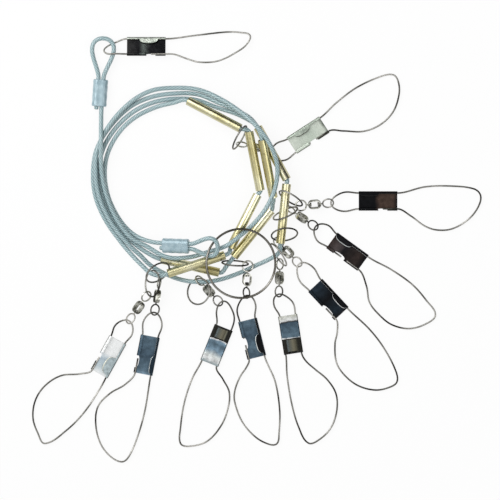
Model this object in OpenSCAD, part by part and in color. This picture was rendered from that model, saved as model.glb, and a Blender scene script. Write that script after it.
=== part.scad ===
// Fish stringer lying coiled: a coated cable with nine tube spacers, nine
// ring, box swivel and safety-pin snap sets, an end snap and a split ring.
// Millimetres, Z up, resting on Z = 0, origin under the middle of its outline.

/* [Cable] */
// Diameter of the cable over its clear coat
cable_d = 3.2; // [2.8:0.1:3.2]
// Middle radius of the coil that the cable lies in
coil_r = 67; // [67:0.5:70]

/* [Tube spacers] */
// Outside diameter of a tube spacer
tube_d = 6.35; // [6:0.05:6.35]
// Wall thickness of a tube spacer
tube_wall = 0.8; // [0.5:0.05:1]
// Length of a tube spacer
tube_l = 43; // [41:0.5:43]

/* [Ferrules] */
// Length of a swaged ferrule
ferrule_l = 19.4; // [16:0.2:19.4]
// Width of a ferrule across its two bores
ferrule_w = 10.8; // [10.2:0.1:10.8]
// Thickness of a ferrule
ferrule_t = 7; // [6:0.1:7]

/* [Rings] */
// Outside diameter of a steel ring
ring_d = 20; // [19.6:0.1:20]
// Wire diameter of a ring
ring_wire = 1.2; // [1:0.05:1.2]
// Outside diameter of the split ring
split_d = 51; // [50.5:0.1:51.2]
// Wire diameter of the split ring
split_wire = 1.6; // [1.4:0.1:1.6]

/* [Box swivels] */
// Length of a swivel over both eyes
swivel_l = 28.4; // [28.2:0.1:28.6]
// Outside diameter of a swivel eye
eye_d = 8.8; // [8.6:0.1:8.8]
// Wire diameter of a swivel eye
eye_wire = 1.1; // [0.9:0.05:1.1]
// Length of the box between the eyes
box_l = 9.4; // [9:0.1:9.6]
// Height of the box
box_h = 6.2; // [6:0.1:6.4]
// Width of the strip that the box is bent from
box_w = 3.6; // [3:0.1:3.8]

/* [Snaps] */
// Length of a snap from the neck end of its clasp to its far bend
snap_l = 92; // [90:0.5:92]
// Wire diameter of a snap
snap_wire = 1.2; // [1:0.05:1.2]
// Length of a clasp
clasp_l = 27.8; // [26:0.2:28]
// Width of a clasp
clasp_w = 14; // [13:0.2:14]
// Thickness of a clasp over its folded edges
clasp_t = 2.6; // [2.5:0.05:2.7]
// Sheet thickness of a clasp
sheet_t = 0.45; // [0.35:0.05:0.5]

/* [Hidden] */
$fn = 40;
hundredth = 0.01;

// Middle of the coil from the origin, in hundredths of the coil radius
coil_place = [-78, 71];

// Cable stations are X, Y in hundredths of the coil radius from the middle
// of the coil, then height in tube diameters. Tube stations add heading and pitch.
inner_run = [[-39, -66, 0.98], [-54, -60, 0.44], [-66.5, -49, 0.3], [-77, -33, 0.3],
    [-84.6, -14, 0.3], [-87.3, 8, 0.3], [-84, 29, 0.3], [-72, 51, 0.3], [-55, 67, 0.3],
    [-33, 78, 0.31], [-13, 83, 0.71]];
tube_places = [
    [30.4, 70.0, 1.64, -28, 8],
    [73.8, 20.0, 1.83, -79, -4],
    [62.5, -44.5, 1.45, -117, -2],
    [11.3, -90.7, 1.70, -162, 3],
    [87.9, 11.8, 1.8, -79, -12],
    [71.6, -57.8, 0.76, -129, -1.5],
    [4.5, -92.3, 0.52, 167, 0],
    [92.8, 28.4, 1.49, -61, 4],
    [104.8, -36.3, 1.6, -96, -2]];
run_12 = [[63, 54, 2.11]];
run_34 = [[47, -78, 1.45]];
run_45 = [[-27, -103, 1.83], [-38, -100, 1.42], [-46, -93, 1.02], [-56, -83, 0.63],
    [-69, -68, 0.3], [-86, -44, 0.3], [-97, -19, 0.3], [-100, 6, 0.3], [-96, 33, 0.3],
    [-82, 57, 0.3], [-61, 78, 0.3], [-38, 89, 0.3], [-12, 93, 0.3], [13, 92, 0.39],
    [35, 83, 0.79], [56, 74, 1.42], [72, 63, 2.32]];
run_56 = [[93, -27, 0.99]];
run_67 = [[44, -92, 0.68]];
run_78 = [[-42, -78, 0.41], [-56, -68, 0.3], [-74.5, -49, 0.3], [-87.5, -25, 0.3],
    [-93.8, 4, 0.3], [-90, 31, 0.3], [-77, 54, 0.3], [-57, 73, 0.3], [-35, 83.4, 0.3],
    [-12, 87.3, 0.3], [11, 86, 0.3], [33, 78, 0.44], [54, 71, 0.71], [68, 64, 0.95]];
outer_run = [[100, -78, 1.2], [90, -85, 0.79], [75, -92, 0.47], [60, -99, 0.3],
    [37, -107, 0.6], [15, -110, 0.9], [-6, -107, 0.6], [-24, -100, 0.3], [-39, -91, 0.3],
    [-49, -81, 0.54], [-60, -71, 0.82], [-79.5, -47, 0.82], [-92.5, -20, 0.82], [-97, 5, 0.85],
    [-95.2, 32, 0.95], [-82, 59, 0.88], [-60, 83, 0.79], [-37, 96, 0.63], [-11, 99, 0.55],
    [13, 97, 0.79], [35, 88, 1.26], [57, 74, 2.2], [76, 57, 3.15], [90, 38, 3.1],
    [98, 15, 2.45], [96, -8, 2.14], [87, -29, 2.14], [74, -46, 2.24], [57, -61, 2.28],
    [43, -71, 2.28], [25, -77, 1.6], [4, -83, 1.25], [-20, -83, 1.32], [-41, -72, 0.98],
    [-60, -61, 0.95], [-75, -41, 0.88], [-85, -18, 0.88], [-90, 4, 0.91], [-91.2, 21, 1.2],
    [-91, 37, 1.56], [-91, 47, 1.48], [-91, 61, 1]];

// Ferrule stations: X, Y, height, heading to the loop, pitch and roll
ferrule_1_place = [-92.4, 93.5, 0.57, 86, 0.8, 0];
ferrule_2_place = [-10.7, -70.9, 1.95, -2, 13.6, 15];
loop_1_l = 29.7 / 67 * coil_r;
loop_1_w = 13.8 / 67 * coil_r;
loop_2_l = 21.4 / 67 * coil_r;
loop_2_w = 11.2 / 67 * coil_r;
leg_pitch = cable_d + 0.5;
stub_l = 2.4;
bore_d = cable_d + 0.1;

// Split ring: place of its middle and heading of its first wire end
split_place = [59.1, -89.7, 2.89];
split_start = 182;
split_turns = 1.83;
split_gap = 0.45;

// Chains 2 to 10: X, Y and height of the link between ring and swivel, then
// ring heading, dip and roll, then swivel heading and dip, snap heading,
// neck knot that carries the lower link, flipped or not
chains = [
    [57.1, 38.7, 0.777, -96, 62, 116, -11.7, 5.3, 33, 3, 0],
    [120.7, -27.7, 0.666, -44, 37, 69, 4.8, 2, 0, 4, 0],
    [110.2, -30.4, 0.67, 59, 62, 128, -34.7, 3.6, -36, 4, 0],
    [97.4, -64.8, 0.46, -144, 42, 129, -46.4, -1, -47, 4, 0],
    [101.2, -87.6, 0.574, -77, 58, 65, -92.2, 0.7, -81, 4, 1],
    [66.5, -89.7, 1.22, -1, 14, 101, -92.6, 10.9, -76, 4, 0],
    [13, -106, 0.757, 93, 11, 149, -48.2, 3.9, -112, 3, 1],
    [-28.3, -107.7, 0.7, -78, 53, -20, -98.8, 2.8, -101, 4, 0],
    [-40.8, -122.7, 0.657, -114, 28, 51, -125.4, 2.1, -119, 4, 0]];
eye_rolls = [32, 40, -36, 40, -46, 53, -38, -41, 44];
end_snap_place = [-63.4, 143.5, 0.6];
end_snap_roll = -14;

// Neck tip of each snap 1 to 10, in hundredths of the snap length
neck_tips = [[-18, -3.5], [-18.4, 1.1], [-21.9, -1.6], [-16.7, 0.9], [-20.9, 2.2],
    [-17.5, 4.2], [-18.8, 3.8], [-19.4, 6.3], [-18.9, -0.2], [-17.4, 0.4]];
// Bow of each snap 1 to 10, in hundredths of the snap length
bow_shares = [
    [[54.0, 9.0], [77.5, 11.7], [89.2, 11.3], [96.3, 9.0], [94, 2], [87.7, -3.5], [72.0, -11.7],
        [57.1, -12.9], [47.3, -10.2], [37.2, -6.5]],
    [[47.3, 9.1], [66.8, 10.5], [87.3, 7.6], [96.7, 3.4], [97.4, -2.7], [92.6, -11.7],
        [81.0, -21.0], [66.9, -24.0], [53.0, -21.1], [40.0, -12.3]],
    [[51.7, 11.0], [71.2, 11.7], [90.4, 9.4], [95.5, 3.9], [93.1, -5.5], [85.3, -14.9],
        [72.8, -21.9], [61.0, -22.7], [51.7, -19.6], [40.7, -11.7]],
    [[51.2, 8.8], [71.4, 9.0], [87.6, 5.4], [99.9, 0.5], [98.3, -9.2], [89.8, -20.2],
        [76.6, -25.9], [63.5, -25.3], [52.3, -21.9], [42.9, -13.0]],
    [[53.4, 7.6], [71.2, 6.1], [90.5, 1.0], [98.8, -4.5], [97.9, -12.2], [91.9, -21.6],
        [80.3, -29.0], [66.6, -31.2], [55.3, -28.9], [44.0, -19.9], [38.2, -12]],
    [[46.9, 7.8], [69.2, 7.6], [87.9, 5.1], [101.3, -0.4], [99.8, -9.6], [92.0, -20.0],
        [79.6, -26.4], [66.4, -27.8], [54.4, -22.7], [45.1, -14.7], [37.1, -8.3]],
    [[52.0, 9.4], [74.2, 7.5], [92.3, 2.5], [99.5, -0.9], [98.9, -6.5], [90.9, -15.7],
        [76.8, -23.1], [59.9, -25.2], [51.0, -22.8], [41.6, -16.2], [35.5, -9.5]],
    [[46.5, 7.9], [66.1, 6.6], [85.2, 2.1], [96.9, -2.6], [96.5, -9.6], [87.5, -21.3],
        [71.2, -27.0], [55.5, -26.5], [44.9, -22.6], [37.8, -14.5]],
    [[57.0, 7.0], [78.0, 5.4], [95.5, 1.6], [100.8, -3.0], [98.2, -13.0], [89.3, -22.7],
        [75.0, -29.0], [61.5, -29.6], [49.8, -22.2], [40.7, -12.0]],
    [[39, 6.3], [61.3, 4.6], [81.5, -0.9], [98.6, -10.6], [94.4, -19.2], [85.4, -28.7],
        [72.5, -33.6], [59, -32.5], [46.1, -25.4], [37.6, -13]]];

// Vector helpers
function unit(v) = v / norm(v);
function facing(heading, pitch) =
    [cos(heading) * cos(pitch), sin(heading) * cos(pitch), sin(pitch)];
function place(s) = [(s[0] + coil_place[0]) * hundredth * coil_r,
    (s[1] + coil_place[1]) * hundredth * coil_r, s[2] * tube_d];
// Frame of unit axes: x as given, z as near as can be to the wanted one
function axes_of(x, z_wish) =
    let (z = unit(z_wish - (z_wish * x) * x)) [x, cross(z, x), z];
function turned(v, axis, angle) =
    v * cos(angle) + cross(axis, v) * sin(angle) + axis * (axis * v) * (1 - cos(angle));
function moved(frame, p) =
    frame[0] + frame[1][0] * p[0] + frame[1][1] * p[1] + frame[1][2] * p[2];
function matrix_of(frame) = let (o = frame[0], a = frame[1])
    [[a[0][0], a[1][0], a[2][0], o[0]], [a[0][1], a[1][1], a[2][1], o[1]],
        [a[0][2], a[1][2], a[2][2], o[2]], [0, 0, 0, 1]];
module at_frame(frame) multmatrix(matrix_of(frame)) children();

// Curves: a knot is a place with an optional unit direction
function knot_direction(k, i) = k[i][1] != undef ? k[i][1] :
    unit(k[min(i + 1, len(k) - 1)][0] - k[max(i - 1, 0)][0]);
function hermite(a, ta, b, tb, t) = let (c = norm(b - a))
    a * (2 * t * t * t - 3 * t * t + 1) + ta * c * (t * t * t - 2 * t * t + t)
    + b * (3 * t * t - 2 * t * t * t) + tb * c * (t * t * t - t * t);
function curve(k, step) = concat([for (i = [0:len(k) - 2])
    let (a = k[i][0], b = k[i + 1][0], ta = knot_direction(k, i), tb = knot_direction(k, i + 1),
        bend = 1 - ta * tb, n = bend < 0.0001 ? 1 : max(ceil(norm(b - a) / step), bend > 0.06 ? 2 : 1))
    for (j = [0:n - 1]) hermite(a, ta, b, tb, j / n)], [k[len(k) - 1][0]]);
function path_length(p) = len(p) < 2 ? 0 :
    [for (i = [1:len(p) - 1]) norm(p[i] - p[i - 1])] * [for (i = [1:len(p) - 1]) 1];

// One unbroken tube of rings set square to its path
module swept(points, r, sides) {
    n = len(points);
    rings = [for (i = [0:n - 1])
        let (t = unit(points[min(i + 1, n - 1)] - points[max(i - 1, 0)]),
            side = unit(cross(t, [0, 0, 1])), up = cross(t, side))
        for (j = [0:sides - 1])
            points[i] + r * (side * cos(360 * j / sides) + up * sin(360 * j / sides))];
    faces = concat([[for (j = [0:sides - 1]) j]],
        [for (i = [0:n - 2]) for (j = [0:sides - 1])
            [i * sides + (j + 1) % sides, i * sides + j, (i + 1) * sides + j,
                (i + 1) * sides + (j + 1) % sides]],
        [[for (j = [sides - 1:-1:0]) (n - 1) * sides + j]]);
    polyhedron(points = rings, faces = faces, convexity = 10);
}

// The cable
tube_run = 0.6;
function tube_frame(i) = let (p = tube_places[i]) [place(p), axes_of(facing(p[3], p[4]), [0, 0, 1])];
function tube_knots(i) = let (f = tube_frame(i), half = tube_l / 2 + tube_run)
    [[moved(f, [-half, 0, 0]), f[1][0]], [moved(f, [half, 0, 0]), f[1][0]]];
function free_knots(s) = [for (p = s) [place(p), undef]];
function ferrule_frame(p) = let (x = facing(p[3], p[4]))
    [place(p), axes_of(x, turned(axes_of(x, [0, 0, 1])[2], x, p[5]))];
ferrule_1_frame = ferrule_frame(ferrule_1_place);
ferrule_2_frame = ferrule_frame(ferrule_2_place);
loop_steps = 16;
loop_full = 0.77;
function loop_knots(f, l, w) = [for (i = [1:loop_steps - 1])
    let (t = 360 - 360 * i / loop_steps, h = sin(t / 2))
    [moved(f, [ferrule_l / 2 + cable_d / 2 + (l - cable_d / 2) * (1 - cos(t)) / 2,
        leg_pitch / 2 * cos(t / 2) + loop_full * w * sin(t) * h * h, 0]), undef]];
function leg_knot(f, x, side, way) = [moved(f, [x, side * leg_pitch / 2, 0]), way * f[1][0]];
leg_end = ferrule_l / 2 + tube_run;
cable_knots = concat(
    [leg_knot(ferrule_2_frame, -ferrule_l / 2 - stub_l, -1, 1), leg_knot(ferrule_2_frame, leg_end, -1, 1)],
    loop_knots(ferrule_2_frame, loop_2_l, loop_2_w),
    [leg_knot(ferrule_2_frame, leg_end, 1, -1), leg_knot(ferrule_2_frame, -leg_end, 1, -1)],
    free_knots(inner_run), tube_knots(0), free_knots(run_12), tube_knots(1), tube_knots(2),
    free_knots(run_34), tube_knots(3), free_knots(run_45), tube_knots(4), free_knots(run_56),
    tube_knots(5), free_knots(run_67), tube_knots(6), free_knots(run_78), tube_knots(7),
    tube_knots(8), free_knots(outer_run),
    [leg_knot(ferrule_1_frame, -leg_end, -1, 1), leg_knot(ferrule_1_frame, leg_end, -1, 1)],
    loop_knots(ferrule_1_frame, loop_1_l, loop_1_w),
    [leg_knot(ferrule_1_frame, leg_end, 1, -1),
        leg_knot(ferrule_1_frame, -ferrule_l / 2 - stub_l, 1, -1)]);
ring_step = 9;
cable_path = curve(cable_knots, ring_step);
// Stretches nearer along the cable than this are not compared
near_run = 14;
function cable_gap() = let (p = cable_path, n = len(p), mid = [for (i = [0:n - 2]) (p[i] + p[i + 1]) / 2])
    min([for (i = [0:n - 2]) for (j = [i + 1:n - 2])
        let (d = norm(mid[i] - mid[j])) if (d < near_run && j - i > 3)
        norm(p[i] - p[j]) < norm(mid[i] - mid[j]) ? norm(p[i] - p[j]) : d]) - cable_d;

module cable() {
    color([0.65, 0.75, 0.79]) swept(cable_path, cable_d / 2, 6);
}
module tube_spacer(i) {
    color([0.78, 0.72, 0.43]) at_frame(tube_frame(i)) rotate([0, 90, 0]) difference() {
        cylinder(d = tube_d, h = tube_l, center = true);
        cylinder(d = tube_d - 2 * tube_wall, h = tube_l * 1.1, center = true);
    }
}
module ferrule(f) {
    color([0.6, 0.68, 0.72]) at_frame(f) rotate([0, 90, 0]) difference() {
        union() {
            cube([ferrule_t, ferrule_w - ferrule_t, ferrule_l], center = true);
            for (s = [-1, 1]) translate([0, s * (ferrule_w - ferrule_t) / 2, 0])
                cylinder(d = ferrule_t, h = ferrule_l, center = true);
        }
        for (s = [-1, 1]) translate([0, s * leg_pitch / 2, 0])
            cylinder(d = bore_d, h = ferrule_l * 1.1, center = true);
    }
}

// Split ring: two turns of wire, the ends stopping short at the loop
split_r = (split_d - split_wire) / 2;
split_pitch = split_wire + split_gap;
split_sweep = 360 * split_turns;
function split_rise(a) = let (s = min(1, max(0, (a - (split_sweep - 360)) / (720 - split_sweep))))
    (s * s * (3 - 2 * s) - 0.5) * split_pitch;
split_steps = 48;
split_path = [for (i = [0:split_steps]) let (a = split_sweep * i / split_steps)
    place(split_place) + [split_r * cos(a + split_start), split_r * sin(a + split_start), split_rise(a)]];
module split_ring() {
    color([0.62, 0.62, 0.6]) swept(split_path, split_wire / 2, 6);
}

// Chains of ring, box swivel and snap
ring_r = (ring_d - ring_wire) / 2;
eye_r = (eye_d - eye_wire) / 2;
link_slack = 0.7;
// Distance from a link to the middle of the eye that hangs on it
link_in = eye_r - eye_wire / 2 - ring_wire / 2 - link_slack;
link_l = swivel_l - 2 * (eye_d / 2 - link_in);
function link_place(k) = place(chains[k]);
function ring_frame(k) = let (c = chains[k], out = facing(c[3], -c[4]),
        flat = axes_of(out, [0, 0, 1]), z = turned(flat[2], out, c[5]))
    [link_place(k) - ring_r * out, [out, cross(z, out), z]];
function swivel_way(k) = facing(chains[k][6], -chains[k][7]);
function low_link(k) = link_place(k) + link_l * swivel_way(k);
// The eye on the ring turns its opening along the ring wire
function swivel_frame(k) = [link_place(k), axes_of(swivel_way(k), ring_frame(k)[1][1])];
function low_eye_frame(k) = let (x = swivel_way(k))
    [link_place(k), axes_of(x, turned(axes_of(x, [0, 0, 1])[2], x, eye_rolls[k]))];

clasp_e = (clasp_w - clasp_t) / 2;
neck_w = 13.8 / 92 * snap_l;
neck_bulge = 0.5;
neck_shoulder = 0.86;
neck_pinch = 0.62;
end_neck = 0.68;
clasp_lift = 0.1;
clasp_z = clasp_t / 2 + clasp_lift;
// Rise of the neck above the clasp so that its tip meets the lower link
function neck_rise(n) = n == 0 ? 0 :
    let (z = low_link(n - 1)[2] - clasp_z) chains[n - 1][10] == 1 ? -z : z;
neck_twist = 1.7;
function neck_flat(n) = let (t = neck_tips[n] * hundredth * snap_l, tw = n == 0 ? neck_twist : 0, up = neck_rise(n),
        side = n == 0 ? 4 : chains[n - 1][9], b = neck_w / 2 * (n == 0 ? end_neck : 1))
    [[0.28 * clasp_l, clasp_e, 0], [0, clasp_e, 0],
        [neck_bulge * t[0], b + neck_bulge * t[1] * 0.8, -tw + up * (side == 3 ? 0.6 : 0.45)],
        [neck_shoulder * t[0], neck_pinch * b + neck_shoulder * t[1], -tw / 2 + up * (side == 3 ? 1 : 0.85)],
        [t[0], t[1], up],
        [neck_shoulder * t[0], -neck_pinch * b + neck_shoulder * t[1], tw / 2 + up * (side == 5 ? 1 : 0.85)],
        [neck_bulge * t[0], -b + neck_bulge * t[1] * 0.8, tw + up * (side == 5 ? 0.6 : 0.45)],
        [0, -clasp_e, 0], [0.45 * clasp_l, -clasp_e, 0]];
function snap_axes(n) = n == 0 ? axes_of([1, 0, 0], turned([0, 0, 1], [1, 0, 0], end_snap_roll)) :
    axes_of(facing(chains[n - 1][8], 0), chains[n - 1][10] == 1 ? [0, 0, -1] : [0, 0, 1]);
function snap_frame(n) = let (a = snap_axes(n)) n == 0 ? [place(end_snap_place), a] :
    let (p = neck_flat(n)[chains[n - 1][9]])
    [low_link(n - 1) - a[0] * p[0] - a[1] * p[1] - a[2] * p[2], a];
snap_step = 5;
bow_start = 0.34;
bow_hook = 0.62;
function neck_path(n) = let (k = neck_flat(n))
    curve([for (i = [0:len(k) - 1]) [k[i], i < 2 ? [-1, 0, 0] : i > 6 ? [1, 0, 0] : undef]], snap_step);
function bow_path(n) = let (s = bow_shares[n] * hundredth * snap_l)
    curve(concat([[[bow_start * clasp_l, clasp_e, 0], [1, 0, 0]], [[clasp_l, clasp_e, 0], [1, 0, 0]]],
        [for (p = s) [[p[0], p[1], 0], undef]],
        [[[clasp_l, -clasp_e, 0], [-1, 0, 0]], [[bow_hook * clasp_l, -clasp_e, 0], [-1, 0, 0]]]), 9);

module steel_ring(k) {
    color([0.7, 0.7, 0.68]) at_frame(ring_frame(k)) rotate_extrude() translate([ring_r, 0])
        circle(d = ring_wire, $fn = 20);
}

stem_d = eye_wire;
head_d = 2.6;
head_l = 1.2;
box_wall = 0.8;
run_fit = 0.08;
box_from = link_l / 2 - box_l / 2;
// How far the rounded end of the box keeps a head from its wall
head_gap = let (r = box_h / 2 - box_wall) r - sqrt(r * r - head_d * head_d / 4) + run_fit;
// Wire eye with its stem and the head that holds it inside the box
module eye_piece() {
    translate([link_in, 0, 0]) rotate_extrude() translate([eye_r, 0]) circle(d = eye_wire, $fn = 20);
    stem_from = link_in + eye_r;
    head_from = box_from + box_wall + head_gap;
    translate([stem_from, 0, 0]) rotate([0, 90, 0])
        cylinder(d = stem_d, h = head_from + head_l / 2 - stem_from);
    translate([head_from, 0, 0]) rotate([0, 90, 0]) cylinder(d = head_d, h = head_l);
}
module box_outline(inset) {
    r = box_h / 2 - inset;
    run = box_l - box_h;
    square([run, 2 * r], center = true);
    for (s = [-1, 1]) translate([s * run / 2, 0]) circle(r = r);
}
// Strip bent round into a box, with a bore through each rounded end
module box_frame() {
    translate([link_l / 2, 0, 0]) difference() {
        linear_extrude(height = box_w, center = true) difference() {
            box_outline(0);
            box_outline(box_wall);
        }
        rotate([0, 90, 0]) cylinder(d = stem_d + 2 * run_fit, h = box_l * 1.1, center = true, $fn = 24);
    }
}
module swivel(k) {
    color([0.66, 0.67, 0.66]) at_frame(swivel_frame(k)) {
        box_frame();
        eye_piece();
    }
}
module swivel_eye(k) {
    color([0.7, 0.71, 0.7]) at_frame(low_eye_frame(k))
        translate([link_l, 0, 0]) mirror([1, 0, 0]) eye_piece();
}

leaf_in = 0.1;
notch_from = 0.5;
notch_to = 0.74;
roll_in = 3.3;
// Flattened tube of sheet: closed folds, a leaf, the open catch and a notch
module clasp_sheet(leaf_at_bow) {
    outer = clasp_t / 2;
    inner = clasp_t / 2 - sheet_t;
    over = clasp_t;
    leaf_from = leaf_at_bow ? 0.5 : 0.06;
    leaf_to = leaf_at_bow ? 0.96 : 0.5;
    difference() {
        rotate([90, 0, 90]) linear_extrude(height = clasp_l) difference() {
            union() {
                square([2 * clasp_e, 2 * outer], center = true);
                for (s = [-1, 1]) translate([s * clasp_e, 0]) circle(r = outer, $fn = 24);
            }
            square([2 * clasp_e, 2 * inner], center = true);
            for (s = [-1, 1]) translate([s * clasp_e, 0]) circle(r = inner, $fn = 24);
        }
        // open top between the folds, before and after the leaf
        translate([-over, -clasp_w / 2 + roll_in, 0])
            cube([leaf_from * clasp_l + over, clasp_w - 2 * roll_in, over]);
        translate([leaf_to * clasp_l, -clasp_w / 2 + roll_in, 0])
            cube([clasp_l, clasp_w - 2 * roll_in, over]);
        translate([leaf_from * clasp_l - over, -clasp_w / 2 + roll_in, 0])
            cube([(leaf_to - leaf_from) * clasp_l + 2 * over, clasp_w / 2 - roll_in - leaf_in * clasp_w, over]);
        // the catch side is open upward past half length
        translate([notch_from * clasp_l, -clasp_w, 0])
            cube([clasp_l, clasp_w / 2 + roll_in, over]);
        // notch through the edge between the closed fold and the catch
        translate([notch_from * clasp_l, -clasp_w, -over])
            cube([(notch_to - notch_from) * clasp_l, clasp_w - clasp_e + outer * 0.4, 2 * over]);
    }
}
module neck_wire(n) {
    swept(neck_path(n), snap_wire / 2, 6);
}
module clasp(n, leaf_at_bow) {
    at_frame(snap_frame(n)) {
        color([0.45, 0.52, 0.58]) clasp_sheet(leaf_at_bow);
        color([0.7, 0.7, 0.69]) neck_wire(n);
    }
}
module bow(n) {
    color([0.7, 0.7, 0.69]) at_frame(snap_frame(n)) swept(bow_path(n), snap_wire / 2, 6);
}

echo(cable_points = len(cable_path), cable_length = path_length(cable_path), cable_gap = cable_gap());

cable();
ferrule(ferrule_1_frame);  // ferrule_1
ferrule(ferrule_2_frame);  // ferrule_2
split_ring();
clasp(0, false);  // end_clasp
bow(0);  // end_bow
tube_spacer(0);  // tube_1
tube_spacer(1);  // tube_2
tube_spacer(2);  // tube_3
tube_spacer(3);  // tube_4
tube_spacer(4);  // tube_5
tube_spacer(5);  // tube_6
tube_spacer(6);  // tube_7
tube_spacer(7);  // tube_8
tube_spacer(8);  // tube_9
steel_ring(0);  // ring_2
steel_ring(1);  // ring_3
steel_ring(2);  // ring_4
steel_ring(3);  // ring_5
steel_ring(4);  // ring_6
steel_ring(5);  // ring_7
steel_ring(6);  // ring_8
steel_ring(7);  // ring_9
steel_ring(8);  // ring_10
swivel(0);  // swivel_2
swivel(1);  // swivel_3
swivel(2);  // swivel_4
swivel(3);  // swivel_5
swivel(4);  // swivel_6
swivel(5);  // swivel_7
swivel(6);  // swivel_8
swivel(7);  // swivel_9
swivel(8);  // swivel_10
swivel_eye(0);  // swivel_eye_2
swivel_eye(1);  // swivel_eye_3
swivel_eye(2);  // swivel_eye_4
swivel_eye(3);  // swivel_eye_5
swivel_eye(4);  // swivel_eye_6
swivel_eye(5);  // swivel_eye_7
swivel_eye(6);  // swivel_eye_8
swivel_eye(7);  // swivel_eye_9
swivel_eye(8);  // swivel_eye_10
clasp(1, false);  // clasp_2
clasp(2, false);  // clasp_3
clasp(3, false);  // clasp_4
clasp(4, true);  // clasp_5
clasp(5, false);  // clasp_6
clasp(6, true);  // clasp_7
clasp(7, true);  // clasp_8
clasp(8, true);  // clasp_9
clasp(9, true);  // clasp_10
bow(1);  // bow_2
bow(2);  // bow_3
bow(3);  // bow_4
bow(4);  // bow_5
bow(5);  // bow_6
bow(6);  // bow_7
bow(7);  // bow_8
bow(8);  // bow_9
bow(9);  // bow_10
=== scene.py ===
import bpy
import numpy as np
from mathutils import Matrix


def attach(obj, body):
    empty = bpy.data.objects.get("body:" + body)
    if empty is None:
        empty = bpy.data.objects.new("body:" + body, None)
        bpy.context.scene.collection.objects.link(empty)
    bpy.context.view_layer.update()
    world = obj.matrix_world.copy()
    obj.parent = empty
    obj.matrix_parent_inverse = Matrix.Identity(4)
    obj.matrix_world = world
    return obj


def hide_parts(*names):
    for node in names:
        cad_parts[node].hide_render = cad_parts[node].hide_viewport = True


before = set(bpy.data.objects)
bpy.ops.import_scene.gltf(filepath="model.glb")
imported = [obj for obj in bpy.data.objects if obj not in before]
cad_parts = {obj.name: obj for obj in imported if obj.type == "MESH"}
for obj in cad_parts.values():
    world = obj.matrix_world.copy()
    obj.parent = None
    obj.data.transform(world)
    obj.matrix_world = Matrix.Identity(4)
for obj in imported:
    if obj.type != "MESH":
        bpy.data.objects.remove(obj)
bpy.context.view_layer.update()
mm = 0.001

# The camera and the table. The stringer lies on white paper and is looked at
# from straight above with a long lens, so nothing shows its side. At the middle
# height of the heap a pixel is 0.72 mm wide.
pixel = 0.72 * mm
photo_size = 500
origin_px = (258.5, 246)
view_middle = ((photo_size / 2 - origin_px[0]) * pixel, (origin_px[1] - photo_size / 2) * pixel)
eye_height, heap_middle = 3.2, 4 * mm
camera = bpy.data.objects.new("camera", bpy.data.cameras.new("camera"))
bpy.context.scene.collection.objects.link(camera)
camera.location = (*view_middle, eye_height)
camera.data.sensor_width = 36
camera.data.lens = camera.data.sensor_width * (eye_height - heap_middle) / (photo_size * pixel)
camera.data.clip_end = 20
bpy.context.scene.camera = camera
bpy.context.scene.view_settings.view_transform = "Standard"


def new_finish(name, colour, metal, rough, edge=1.0, coat=0.0, coat_rough=0.1):
    """A material with its gloss set on the shader, its node tree, and that shader.

    Edge dims what the metal mirrors where it turns away from the eye.
    """
    finish = bpy.data.materials.new(name)
    finish.use_nodes = True
    shader = finish.node_tree.nodes["Principled BSDF"]
    settings = {"Base Color": colour, "Metallic": metal, "Roughness": rough, "Coat Weight": coat,
                "Coat Roughness": coat_rough, "Specular Tint": (edge, edge, edge, 1)}
    for socket, value in settings.items():
        shader.inputs[socket].default_value = value
    return finish, finish.node_tree, shader


def feed(tree, socket, value):
    """Sets a socket to a number or a colour, or joins another node's output to it."""
    if isinstance(value, (int, float, tuple)):
        socket.default_value = value
    else:
        tree.links.new(value, socket)


def math_node(tree, kind, *values):
    """One arithmetic node, whose inputs are numbers or other nodes' outputs."""
    node = tree.nodes.new("ShaderNodeMath")
    node.operation = kind
    for socket, value in zip(node.inputs, values):
        feed(tree, socket, value)
    return node.outputs[0]


paper, tree, shader = new_finish("white_paper", (0.9, 0.9, 0.9, 1), 0, 0.9)
ray = tree.nodes.new("ShaderNodeLightPath")
seen = math_node(tree, "MAXIMUM", ray.outputs["Is Camera Ray"], ray.outputs["Is Glossy Ray"])
seen = math_node(tree, "MAXIMUM", seen, ray.outputs["Is Transmission Ray"])
white = tree.nodes.new("ShaderNodeEmission")
white.inputs["Color"].default_value = (1, 1, 1, 1)
both = tree.nodes.new("ShaderNodeMixShader")
tree.links.new(math_node(tree, "MULTIPLY", seen, 0.9), both.inputs[0])
tree.links.new(shader.outputs[0], both.inputs[1])
tree.links.new(white.outputs[0], both.inputs[2])
tree.links.new(both.outputs[0], tree.nodes["Material Output"].inputs["Surface"])
table_mesh = bpy.data.meshes.new("table")
table_mesh.from_pydata([(-4, -4, 0), (4, -4, 0), (4, 4, 0), (-4, 4, 0)], [], [(0, 1, 2, 3)])
table_mesh.materials.append(paper)
table = bpy.data.objects.new("table", table_mesh)
bpy.context.scene.collection.objects.link(table)

# The light: a pale ceiling above a dark band of wall, darkest to the right and
# behind, as the metal mirrors it, and two lamps. The camera itself sees only white.
def colours_of(tree, value, stops):
    """A ramp of colours read at value, from pairs of a place and a colour."""
    ramp = tree.nodes.new("ShaderNodeValToRGB")
    marks = ramp.color_ramp.elements
    marks[0].position, marks[0].color = stops[0]
    marks[1].position, marks[1].color = stops[-1]
    for spot, colour in stops[1:-1]:
        marks.new(spot).color = colour
    tree.links.new(value, ramp.inputs[0])
    return ramp.outputs[0]


def greys(stops):
    """The stops of a ramp from pairs of a place and a grey."""
    return [(spot, (grey, grey, grey, 1)) for spot, grey in stops]


def mixed(tree, share, a, b, kind="MIX"):
    """Colours a and b mixed by share. Each is a number, a colour or a node's output."""
    node = tree.nodes.new("ShaderNodeMix")
    node.data_type = "RGBA"
    node.blend_type = kind
    for socket, value in ((0, share), (6, a), (7, b)):
        feed(tree, node.inputs[socket], value)
    return node.outputs[2]


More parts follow.
